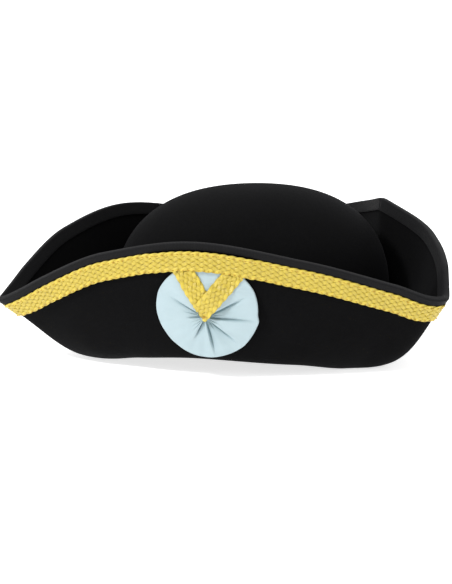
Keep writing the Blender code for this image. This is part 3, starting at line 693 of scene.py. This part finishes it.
def makeCockade():
    body = Shell()
    radius = cockadeSet["radius"]
    gather = np.array([cockadeSet["gatherSide"], -cockadeSet["gatherDrop"]])
    turn = np.linspace(-math.pi, math.pi, cockadeSet["columns"], endpoint=False)
    ray = np.stack([np.cos(turn), np.sin(turn)], axis=-1)
    # radius of the rim in the direction seen from the cockade's own centre
    along = ray @ gather
    toRim = -along + np.sqrt(along**2 - gather @ gather + radius**2)
    rimPoint = gather + ray * toRim[:, None]
    seen = np.degrees(np.arctan2(rimPoint[:, 1], rimPoint[:, 0]))
    wobble = np.interp(seen, rimShape[:, 0], rimShape[:, 1], period=360)
    kernel = np.exp(-np.linspace(-2, 2, 9) ** 2)
    wobble = np.convolve(np.concatenate([wobble[-4:], wobble, wobble[:4]]), kernel / kernel.sum(), "valid")
    toRim = toRim * wobble * 0.992

    shares = np.linspace(0.02, 1.0, cockadeSet["rings"]) ** 0.85
    across = gather[0] + ray[:, 0:1] * toRim[:, None] * shares[None, :]
    up = gather[1] + ray[:, 1:2] * toRim[:, None] * shares[None, :]
    # each gather is a sharp valley that widens and fades outwards, some with a long slope on one side
    fold, slope = np.zeros_like(across), np.zeros_like(across)
    for heading, depth, reach, side in gathers:
        aside = np.mod(turn - math.radians(heading) + math.pi, 2 * math.pi) - math.pi
        apart = aside[:, None] * shares[None, :] * radius
        fade = smoothStep(shares / 0.12) * (1 - smoothStep((shares / reach - 0.40) / 0.62))
        fold = fold + depth * fade[None, :] * np.exp(-((apart / (0.00032 + 0.0007 * shares[None, :])) ** 2))
        onSide = smoothStep(0.5 + side * apart / 0.0006) * abs(side)
        slope = slope + depth * fade[None, :] * onSide * np.exp(-np.abs(apart) / (0.0008 + 0.0075 * shares[None, :]))
    cover = cockadeThickness(across, up)
    clear = smoothStep((flap.down(across, up) - braidFoot + 0.001) / 0.008)
    height = cover + clear * cockadeSet["foldDepth"] * (0.22 - 0.50 * fold - 0.85 * slope)
    swell = 0.00030 * np.sin(turn * 5 + 0.9)[:, None] * np.sin(math.pi * shares)[None, :]
    ripple = 0.00022 * np.sin(turn * 9 + 1.3)[:, None] * smoothStep((shares - 0.55) / 0.45)[None, :]
    ripple = ripple + 0.00016 * np.sin(turn * 17 + 0.4)[:, None] * smoothStep((shares - 0.3) / 0.5)[None, :]
    height = np.maximum(height + (ripple + swell) * clear, 0.0007)
    back = flap.back(across, up)
    # painted shade: hollow darkens the cloth's colour in the gathers' valleys and down their sloping sides
    hollow = np.clip(fold * 0.66 + slope * 0.30, 0, 1)
    lay = np.stack([across, up, hollow * clear], axis=-1)
    front = body.add(flap.points(across, up, back + height), lay)

    # rim rolled round to the back
    rolls = np.radians([25, 50, 75, 105, 140])
    rimHeight = height[:, -1:]
    bulge = 0.00055 * np.sin(rolls * 180 / 165)[None, :]
    rollAcross = across[:, -1:] + ray[:, 0:1] * bulge
    rollUp = up[:, -1:] + ray[:, 1:2] * bulge
    rollHeight = rimHeight * (1 - rolls / math.pi)[None, :]
    rollLay = np.stack([rollAcross, rollUp, np.zeros_like(rollUp)], axis=-1)
    roll = body.add(flap.points(rollAcross, rollUp, back[:, -1:] + rollHeight), rollLay)

    backShares = np.linspace(0.985, 0.06, 16)
    backAcross = gather[0] + ray[:, 0:1] * toRim[:, None] * backShares[None, :]
    backUp = gather[1] + ray[:, 1:2] * toRim[:, None] * backShares[None, :]
    backLay = np.stack([backAcross, backUp, np.zeros_like(backUp)], axis=-1)
    rear = body.add(flap.points(backAcross, backUp, flap.back(backAcross, backUp)), backLay)
    ids = np.concatenate([front, roll, rear], axis=1)
    body.skin(ids, closedRound=True)
    spot = np.array([gather[0]]), np.array([gather[1]])
    middle = flap.points(spot[0], spot[1], flap.back(*spot) + cockadeThickness(*spot) * 0.75)
    # the gather's middle also gets painted shade
    frontMiddle = body.add(middle, [[*gather, 0.6]])
    rearMiddle = body.add(flap.points(spot[0], spot[1], flap.back(*spot)))
    body.fan(front[:, 0], int(frontMiddle[0]))
    body.fan(rear[:, -1], int(rearMiddle[0]))
    cloth = body.finish("cockadeCloth", cockadeSilk, "cockade_cloth", ["cockade"])
    across = cockadeSet["flatAcross"]
    math.pi / 4 * across**2
    return cloth


cockadeCloth = makeCockade()


# plaited braid
def plaitPaths(width, repeat, low, high):
    # centre lines of the plait's strands: along, across, height, and how far each place catches the light
    count = braid["strands"]
    wave = count * repeat
    half = (width - braid["strandWidth"]) / 2
    along = np.arange(low, high, braid["step"])
    along = np.append(along, high)
    for strand in range(count):
        phase = np.mod(along / wave - strand / count, 1.0)
        swing = 1.17 * np.arcsin(0.998 * np.sin(2 * math.pi * (phase - 0.25))) / math.asin(0.998)
        across = 1.03 * half * swing / (1 + np.abs(swing) ** 8) ** 0.125
        cell = phase * 2 * count
        turnedCell = np.where(cell < 1, cell + 2 * count, cell)
        weave = np.where(cell < count, -np.cos(math.pi * cell), np.cos(math.pi * cell))
        topTurn = math.cos(math.pi * (count - 1)) * -1
        weave = np.where(np.abs(cell - count) < 1, topTurn * np.cos(math.pi * (cell - count + 1) / 2), weave)
        weave = np.where(turnedCell > 2 * count - 1, -np.cos(math.pi * (turnedCell - 2 * count + 1) / 2), weave)
        weave = weave * (1.5 - 0.5 * weave**2)
        # painted light: lighter where a strand lies on top and at the plait's turning edges, darker where it dips
        # under
        tone = 0.5 + 0.24 * weave + 0.30 * smoothStep((np.abs(across) / half - 0.8) / 0.2)
        yield along, across, braid["weaveHeight"] * weave, tone


def plaitStrands(shell, width, repeat, low, high, toWorld, keep=None):
    # every strand is a flattened tube, laid in the plait's own plane and then put in place
    for along, across, height, tone in plaitPaths(width, repeat, low, high):
        if keep is not None:
            inside = keep(along, across)
            if inside.sum() < 4:
                continue
            first = int(np.argmax(inside))
            last = first + int(np.argmin(np.append(inside[first:], False)))
            along, across, height, tone = (row[first:last] for row in (along, across, height, tone))
            if len(along) < 4:
                continue
        slope = np.gradient(across, along)
        length = np.sqrt(1 + slope**2)
        centres = np.stack([along, across, height], axis=-1)
        sides = np.stack([-slope / length, 1 / length, np.zeros_like(slope)], axis=-1)
        ups = np.broadcast_to([0.0, 0.0, 1.0], centres.shape)
        ran = along + np.cumsum(np.append(0, np.abs(np.diff(across)))) * 0.1
        grid, lay = tubes(shell, centres, sides, ups, braid["strandWidth"] / 2, braid["strandThickness"] / 2,
                          (ran, tone))
        ids = shell.add(toWorld(grid[..., 0], grid[..., 1], grid[..., 2]), lay)
        shell.skin(ids, closedAcross=True)
        shell.cap(ids[0])
        shell.cap(ids[-1])


# a grid of the brim's outer face, so that sewn pieces can be laid on it quickly
sewRuns = np.linspace(wholeRun / 2, wholeRun * 1.5, 1501)
sewDowns = np.linspace(0.0, 0.026, 14)
sewPoints, sewNormals = brimFrame(angleAtRun(sewRuns), sewDowns)
chord = math.sqrt(cockadeSet["radius"] ** 2 - (cockadeSet["radius"] - cockadeSet["tuck"]) ** 2)


def onBrim(run, down, offset):
    column = np.clip((run - sewRuns[0]) / (sewRuns[1] - sewRuns[0]), 0, len(sewRuns) - 1.001)
    row = np.clip((down - sewDowns[0]) / (sewDowns[1] - sewDowns[0]), 0, len(sewDowns) - 1.001)
    i, j = column.astype(int), row.astype(int)
    s, t = (column - i)[..., None], (row - j)[..., None]

    def between(grid):
        return (grid[i, j] * (1 - s) * (1 - t) + grid[i + 1, j] * s * (1 - t)
                + grid[i, j + 1] * (1 - s) * t + grid[i + 1, j + 1] * s * t)

    return between(sewPoints) + unitOf(between(sewNormals)) * offset[..., None]


def braidSeat(run):
    # height of the braid's underside over mid felt, raised where the cockade is tucked under it
    aside = np.abs(angleAtRun(run) - 2 * math.pi - flap.angle) * flap.reach
    raised = 1 - smoothStep((aside - chord - 0.003) / 0.008)
    return hat["felt"] / 2 + hat["clearance"] + (cockadeSet["pressed"] + hat["clearance"]) * raised


def strandBase(run):
    return braidSeat(run) + braid["band"] + braid["weaveHeight"] + braid["strandThickness"] / 2


def onEdge(along, across, height):
    down = braid["top"] + braid["width"] / 2 - across
    return onBrim(along, down, strandBase(along) + height)


def makeEdgeBraid():
    low, high = wholeRun / 2 + halfJoin, wholeRun * 1.5 - halfJoin
    plait = Shell()
    plaitStrands(plait, braid["width"], braid["repeat"], low, high, onEdge)
    plait.finish("edgeBraidPlait", braidThread, "braid", ["edge_braid"])
    band = Shell()
    runs = np.linspace(low, high, 900)
    inset = 0.0009
    downs = np.array([inset, inset * 1.6, 0.005, 0.0096, braid["width"] - inset * 1.6, braid["width"] - inset])
    heights = np.array([0.0, 1.0, 1.0, 1.0, 1.0, 0.0]) * braid["band"]
    downs = np.concatenate([downs, downs[[4, 3, 2, 1]]]) + braid["top"]
    heights = np.concatenate([heights, np.full(4, -0.00002)])
    grid = onBrim(np.broadcast_to(runs[:, None], (len(runs), len(downs))), np.broadcast_to(downs, (len(runs), len(downs))),
                  braidSeat(runs)[:, None] + heights[None, :])
    lay = np.stack(np.broadcast_arrays(runs[:, None], downs[None, :], 0.0), axis=-1)
    ids = band.add(grid, lay)
    band.skin(ids, closedAcross=True)
    band.cap(ids[0])
    band.cap(ids[-1])
    # the band shows between the strands in the darker, painted-shade copy of the thread's finish
    band.finish("edgeBraidBand", shadedBraidGround, "braid", ["edge_braid"])


makeEdgeBraid()


# stitches
stitchSet = {"period": 0.0036, "length": 0.0019, "halfWidth": 0.00026, "topIn": 0.0022, "footIn": 0.0012}


def addStitch(shell, points, ups, halfWidth):
    # a short thread, round, sunk at both ends
    points = np.asarray(points)
    tangent = unitOf(np.gradient(points, axis=0))
    sides = unitOf(np.cross(ups, tangent))
    lifted = unitOf(np.cross(tangent, sides))
    run = np.linspace(0, 1, len(points))
    grid, lay = tubes(shell, points, sides, lifted, halfWidth, halfWidth, (run, run), corners=6, square=1.0)
    ids = shell.add(grid, lay)
    shell.skin(ids, closedAcross=True)
    shell.cap(ids[0])
    shell.cap(ids[-1])


def makeStitches():
    rows = Shell()
    rng = np.random.default_rng(7)
    low, high = wholeRun / 2 + 0.002, wholeRun * 1.5 - 0.002
    arch = np.array([-0.00028, 0.00010, 0.00024, 0.00010, -0.00028])
    for inset in (stitchSet["topIn"], braid["width"] - stitchSet["footIn"]):
        for start in np.arange(low, high - stitchSet["period"], stitchSet["period"]):
            start = start + rng.uniform(-0.0002, 0.0002)
            lengthHere = stitchSet["length"] * rng.uniform(0.8, 1.15)
            run = start + np.linspace(0, 1, 5) * lengthHere
            down = np.full(5, braid["top"] + inset) + rng.uniform(-0.00015, 0.00015)
            seat = strandBase(run) + braid["weaveHeight"] + braid["strandThickness"] * 0.36 + arch
            points = onBrim(run, down, seat)
            ups = onBrim(run, down, seat + 0.001) - points
            addStitch(rows, points, ups, stitchSet["halfWidth"])
    # the join at the centre of the back is whipped down across the braid
    for across in np.linspace(-0.0055, 0.0055, 6):
        run = wholeRun / 2 + np.linspace(0.0002, 0.0022, 5)
        down = braid["top"] + braid["width"] / 2 - across + np.linspace(-0.0006, 0.0006, 5)
        seat = strandBase(run) + braid["weaveHeight"] + braid["strandThickness"] * 0.4 + arch
        points = onBrim(run, down, seat)
        ups = onBrim(run, down, seat + 0.001) - points
        addStitch(rows, points, ups, stitchSet["halfWidth"])
    rows.finish("braidStitches", stitchThread, "braid")


makeStitches()


# folded loop over the cockade
tip = np.array([loopSet["tipSide"], -loopSet["tipDrop"]])
leans = np.radians([loopSet["frontLean"], loopSet["rearLean"]])
armDirections = [np.array([-math.sin(leans[0]), math.cos(leans[0])]), np.array([math.sin(leans[1]), math.cos(leans[1])])]
armInwards = [np.array([math.cos(leans[0]), math.sin(leans[0])]), np.array([-math.cos(leans[1]), math.sin(leans[1])])]
mitre = -(armInwards[0] @ armInwards[1]) / (armDirections[0] @ armInwards[1])


def armPlace(arm, along, across):
    inward = across + loopSet["width"] / 2
    spot = tip + along[..., None] * armDirections[arm] + inward[..., None] * armInwards[arm]
    return spot[..., 0], spot[..., 1]


def armSeat(arm, acrossFlap, upFlap):
    # height of the arm's underside: off the folds near the tip, close to the cloth where it meets the braid
    down = flap.down(acrossFlap, upFlap)
    near = smoothStep((down - braidFoot) / 0.014)
    seat = flap.back(acrossFlap, upFlap) + cockadeThickness(acrossFlap, upFlap) + 0.0001
    seat = seat + (loopSet["standOff"] - 0.0003) * near
    if arm == 1:
        # this arm lies over the other where they cross
        inOther = (acrossFlap - tip[0]) * armInwards[0][0] + (upFlap - tip[1]) * armInwards[0][1]
        seat = seat + 0.0011 * (1 - smoothStep((inOther - loopSet["width"] - 0.0003) / 0.006))
        seat = seat - 0.0007 * (1 - smoothStep(inOther / 0.0016))
    return seat


def makeLoop():
    plait, band = Shell(), Shell()
    for arm in (0, 1):
        def insideArm(along, across):
            acrossFlap, upFlap = armPlace(arm, along, across)
            start = mitre * (across + loopSet["width"] / 2) + 0.0003
            return (along >= start) & (flap.down(acrossFlap, upFlap) > braidFoot - 0.0006)

        def onArm(along, across, height):
            acrossFlap, upFlap = armPlace(arm, along, across)
            base = armSeat(arm, acrossFlap, upFlap) + 0.0002 + braid["weaveHeight"] + braid["strandThickness"] / 2
            return flap.points(acrossFlap, upFlap, base + height)

        plaitStrands(plait, loopSet["width"], loopSet["repeat"], 0.0, 0.075, onArm, insideArm)
        across = np.linspace(-1, 1, 9) * (loopSet["width"] / 2 - 0.0008)
        share = np.linspace(0, 1, 40)
        starts = mitre * (across + loopSet["width"] / 2) + 0.0006
        ends = []
        for place in across:
            tries = np.linspace(0.01, 0.08, 281)
            acrossFlap, upFlap = armPlace(arm, tries, np.full_like(tries, place))
            ends.append(tries[flap.down(acrossFlap, upFlap) > braidFoot - 0.0004][-1])
        along = starts[None, :] + (np.array(ends) - starts)[None, :] * share[:, None]
        wide = np.broadcast_to(across, along.shape)
        acrossFlap, upFlap = armPlace(arm, along, wide)
        seat = armSeat(arm, acrossFlap, upFlap)
        over = flap.points(acrossFlap, upFlap, seat + 0.0004)
        under = flap.points(acrossFlap, upFlap, seat)
        lay = np.stack([along, wide, np.zeros_like(wide)], axis=-1)
        ids = band.add(np.concatenate([over, under[:, ::-1]], axis=1), np.concatenate([lay, lay[:, ::-1]], axis=1))
        band.skin(ids, closedAcross=True)
        band.cap(ids[0])
        band.cap(ids[-1])
    plait.finish("loopPlait", braidThread, "braid", ["cockade_loop"])
    # the loop's band also takes the darker, painted-shade copy of the thread's finish
    band.finish("loopBand", shadedBraidGround, "braid", ["cockade_loop"])
    # small bar stitches that hold the folded tip
    bars = Shell()
    top = 0.0002 + braid["weaveHeight"] * 2 + braid["strandThickness"] * 0.9
    for startAcross, startUp, endAcross, endUp in (
        (-0.0018, -0.0068, 0.0004, -0.0048), (-0.0024, -0.0062, -0.0006, -0.0046),
    ):
        share = np.linspace(0, 1, 7)
        acrossFlap = startAcross + (endAcross - startAcross) * share
        upFlap = startUp + (endUp - startUp) * share
        seat = armSeat(1, acrossFlap, upFlap) + top + 0.0004 * np.sin(math.pi * share) - 0.0002
        points = flap.points(acrossFlap, upFlap, seat)
        addStitch(bars, points, np.broadcast_to(flap.out, points.shape), 0.00028)
    bars.finish("tipStitches", stitchThread, "braid")


makeLoop()

# floor, light and camera
studio = {
    "azimuth": 70.45, "elevation": 12.55, "distance": 1.13, "across": -0.0205, "lift": 0.0395, "focalPixels": 1494.0,
    "sensor": 36.0, "longSide": 584.0, "sky": 0.62, "floorColour": (0.95, 0.95, 0.95), "floorHalf": 40.0,
    "floorGlow": 0.72,
}


def makeStudio():
    azimuth, elevation = math.radians(studio["azimuth"]), math.radians(studio["elevation"])
    back = Vector((math.sin(azimuth) * math.cos(elevation), -math.cos(azimuth) * math.cos(elevation), math.sin(elevation)))
    right = Vector((math.cos(azimuth), math.sin(azimuth), 0.0))
    upward = back.cross(right)
    target = right * studio["across"] + Vector((centreShift[0], centreShift[1], studio["lift"]))
    data = bpy.data.cameras.new("photoCamera")
    data.sensor_width = studio["sensor"]
    data.lens = studio["focalPixels"] * studio["sensor"] / studio["longSide"]
    camera = bpy.data.objects.new("photoCamera", data)
    bpy.context.scene.collection.objects.link(camera)
    turned = Matrix((right, upward, back)).transposed().to_4x4()
    camera.matrix_world = Matrix.Translation(target + back * studio["distance"]) @ turned
    bpy.context.scene.camera = camera

    half = studio["floorHalf"]
    mesh = bpy.data.meshes.new("floor")
    mesh.from_pydata([(-half, -half, 0), (half, -half, 0), (half, half, 0), (-half, half, 0)], [], [(0, 1, 2, 3)])
    floor = bpy.data.objects.new("floor", mesh)
    bpy.context.scene.collection.objects.link(floor)
    plain = Finish("floorPaper", **{"Roughness": 0.9, "Emission Strength": studio["floorGlow"]})
    plain.surface.inputs["Emission Color"].default_value = (1.0, 1.0, 1.0, 1.0)
    mesh.materials.append(plain.wear(Base_Color=(*studio["floorColour"], 1.0)))

    world = bpy.data.worlds.new("softSky")
    world.use_nodes = True
    world.node_tree.nodes["Background"].inputs["Color"].default_value = (1.0, 1.0, 1.0, 1.0)
    world.node_tree.nodes["Background"].inputs["Strength"].default_value = studio["sky"]
    bpy.context.scene.world = world

    middle = Vector((0.0, 0.0, 0.05))
    for name, spot, size, power in (
        ("keyLight", back * 0.9 + right * -1.25 + Vector((0, 0, 1.25)), 0.36, 30.0),
        ("fillLight", back * 1.2 + right * 1.3 + Vector((0, 0, 0.2)), 1.0, 2.0),
        ("topLight", Vector((0.0, 0.1, 1.7)), 1.4, 8.0),
    ):
        lamp = bpy.data.lights.new(name, "AREA")
        lamp.energy, lamp.size = power, size
        holder = bpy.data.objects.new(name, lamp)
        bpy.context.scene.collection.objects.link(holder)
        holder.location = spot
        holder.rotation_mode = "QUATERNION"
        holder.rotation_quaternion = (middle - spot).to_track_quat("-Z", "Y")
    bpy.context.scene.view_settings.view_transform = "Standard"
    print("studio ready")


makeStudio()
bpy.context.view_layer.update()
